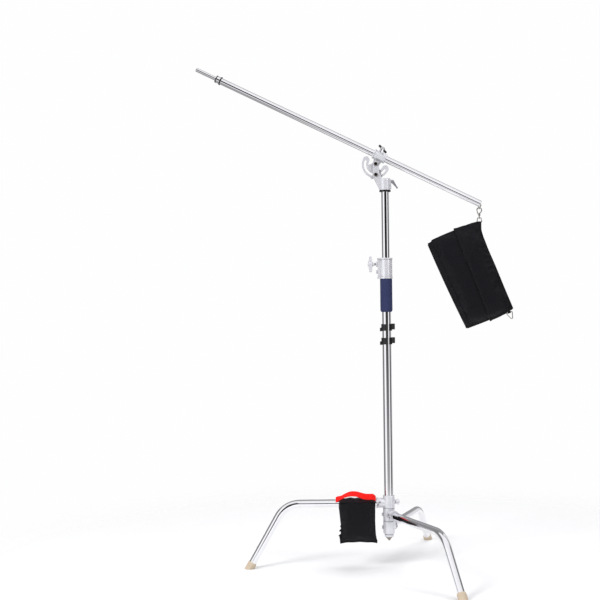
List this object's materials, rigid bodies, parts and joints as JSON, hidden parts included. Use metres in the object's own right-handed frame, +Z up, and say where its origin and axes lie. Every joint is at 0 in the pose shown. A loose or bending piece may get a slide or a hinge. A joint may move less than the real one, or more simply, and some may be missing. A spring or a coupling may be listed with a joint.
{
  "type": "grip stand with boom arm",
  "caption": "Chrome grip stand with swinging nested legs, sliding riser, tilting boom head, sliding boom with spigot, hung counterweight bag and a saddle sandbag on one leg.",
  "frame": {"origin": "point on the floor under the column axis", "axes": "+Z up the column; +X towards the low, weighted end of the boom, with the ballast-bag leg towards -X; +Y towards the back leg"},
  "size_m": [1.2498, 1.0625, 2.0006],
  "materials": {
    "chrome": "polished",
    "casting": "satin",
    "steel": "satin",
    "dark_steel": "satin",
    "black_plastic": "satin",
    "grey_metal": "satin",
    "white_plastic": "satin",
    "blue_foam": "matte",
    "beige_rubber": "matte",
    "brass": "satin",
    "black_nylon": "matte",
    "red_webbing": "matte",
    "sand": "matte"
  },
  "bodies": {
    "column": {"hub_left": "casting", "leg_left": "chrome", "leg_fasteners_left": "steel", "foot_left": "beige_rubber", "base_core": "steel", "base_cap": "casting", "hub_washer": "steel", "base_tip": "steel", "column_tube": "chrome", "grip_sleeve": "blue_foam", "cable_clip_upper": "black_plastic", "cable_clip_lower": "black_plastic", "lock_collar": "casting", "collar_bush": "white_plastic"},
    "front_leg": {"hub_front": "casting", "leg_front": "chrome", "leg_fasteners_front": "steel", "foot_front": "beige_rubber"},
    "back_leg": {"hub_back": "casting", "leg_back": "chrome", "leg_fasteners_back": "steel", "foot_back": "beige_rubber"},
    "hub_lock": {"hub_lock_knob": "casting"},
    "collar_shoe": {"collar_shoe": "brass"},
    "collar_knob": {"collar_handle": "casting", "collar_screw": "steel"},
    "riser": {"riser_tube": "chrome", "riser_foot": "white_plastic", "riser_plug": "steel"},
    "head": {"head_socket": "casting", "socket_ring": "black_plastic", "head_bolts": "dark_steel", "pivot_nut": "steel", "pivot_washers": "steel"},
    "socket_lever": {"socket_lever": "grey_metal"},
    "tilt_handle": {"tilt_handle": "casting"},
    "boom_clamp": {"boom_clamp": "casting"},
    "clamp_shoe": {"clamp_shoe": "brass"},
    "boom_handle": {"boom_handle_hub": "chrome", "boom_handle_grips": "black_plastic"},
    "boom": {"boom_tube": "chrome", "boom_plug": "chrome", "boom_collar": "chrome", "collar_ring_front": "black_plastic", "collar_ring_rear": "black_plastic", "boom_spigot": "chrome", "boom_eye": "chrome"},
    "snap_hook": {"snap_hook": "chrome"},
    "snap_gate": {"snap_gate": "chrome"},
    "swivel": {"swivel_eye": "chrome"},
    "counterweight": {"counterweight_bag": "black_nylon", "bag_flap": "black_nylon", "bag_ballast": "sand", "bag_rings": "chrome", "bag_tabs": "black_nylon"},
    "leg_bag": {"leg_bag_pouch_front": "black_nylon", "leg_bag_pouch_rear": "black_nylon", "leg_bag_sand": "sand", "leg_bag_yoke": "black_nylon", "leg_bag_handle": "red_webbing"}
  },
  "joints": [
    {"name": "front_leg_swing", "type": "hinge", "parent": "column", "child": "front_leg", "pos_m": [0, 0, 0.2095], "axis": [0, 0, 1], "range_deg": [-55, 129]},
    {"name": "back_leg_swing", "type": "hinge", "parent": "column", "child": "back_leg", "pos_m": [0, 0, 0.159], "axis": [0, 0, 1], "range_deg": [-129, 50]},
    {"name": "hub_lock_turn", "type": "hinge", "parent": "column", "child": "hub_lock", "pos_m": [0.0297, -0.00417, 0.26], "axis": [0.9903, -0.1392, 0], "range_deg": [0, 540]},
    {"name": "collar_shoe_press", "type": "slide", "parent": "column", "child": "collar_shoe", "axis": [-1, 0, 0], "range_m": [0, 0.00262]},
    {"name": "collar_knob_turn", "type": "hinge", "parent": "collar_shoe", "child": "collar_knob", "pos_m": [-0.06, 0, 1.2008], "axis": [-1, 0, 0], "range_deg": [0, 540]},
    {"name": "riser_slide", "type": "slide", "parent": "column", "child": "riser", "axis": [0, 0, 1], "range_m": [-0.255, 0.52]},
    {"name": "head_swivel", "type": "hinge", "parent": "riser", "child": "head", "pos_m": [0, 0, 1.5], "axis": [0, 0, 1], "continuous": true},
    {"name": "socket_lever_turn", "type": "hinge", "parent": "head", "child": "socket_lever", "pos_m": [0.03, 0, 1.527], "axis": [1, 0, 0], "continuous": true},
    {"name": "tilt_handle_turn", "type": "hinge", "parent": "head", "child": "tilt_handle", "pos_m": [-0.0355, 0.024, 1.5545], "axis": [0, 1, 0], "range_deg": [-180, 0]},
    {"name": "boom_tilt", "type": "hinge", "parent": "head", "child": "boom_clamp", "pos_m": [-0.0355, 0, 1.597], "axis": [0, 1, 0], "range_deg": [-90, 11]},
    {"name": "clamp_shoe_press", "type": "slide", "parent": "boom_clamp", "child": "clamp_shoe", "axis": [0.3418, -0.6428, 0.6856], "range_m": [0, 0.00125]},
    {"name": "boom_handle_turn", "type": "hinge", "parent": "clamp_shoe", "child": "boom_handle", "pos_m": [-0.00963, -0.01928, 1.64889], "axis": [0.3418, -0.6428, 0.6856], "range_deg": [0, 360]},
    {"name": "boom_slide", "type": "slide", "parent": "boom_clamp", "child": "boom", "axis": [0.8949, 0, -0.4462], "range_m": [-0.12, 0.6]},
    {"name": "hook_swing", "type": "hinge", "parent": "boom", "child": "snap_hook", "pos_m": [0.36899, 0, 1.41321], "axis": [0, 1, 0], "range_deg": [-36, 30]},
    {"name": "gate_open", "type": "hinge", "parent": "snap_hook", "child": "snap_gate", "pos_m": [0.36349, 0, 1.39721], "axis": [0, 1, 0], "range_deg": [0, 22], "stiffness_Nm_per_rad": 0.005},
    {"name": "hook_swivel", "type": "hinge", "parent": "snap_hook", "child": "swivel", "pos_m": [0.36899, 0, 1.38521], "axis": [0, 0, 1], "continuous": true},
    {"name": "bag_swing", "type": "hinge", "parent": "swivel", "child": "counterweight", "pos_m": [0.36899, 0, 1.37821], "axis": [1, 0, 0], "range_deg": [-45, 45]},
    {"name": "leg_bag_slide", "type": "slide", "parent": "column", "child": "leg_bag", "axis": [-0.9978, -0.0663, 0], "range_m": [0, 0.14]}
  ],
  "couplings": [
    {"joint": "collar_knob_turn", "follows": "collar_shoe_press", "rad_per_m": 3590.4},
    {"joint": "boom_handle_turn", "follows": "clamp_shoe_press", "rad_per_m": 5026.5}
  ]
}
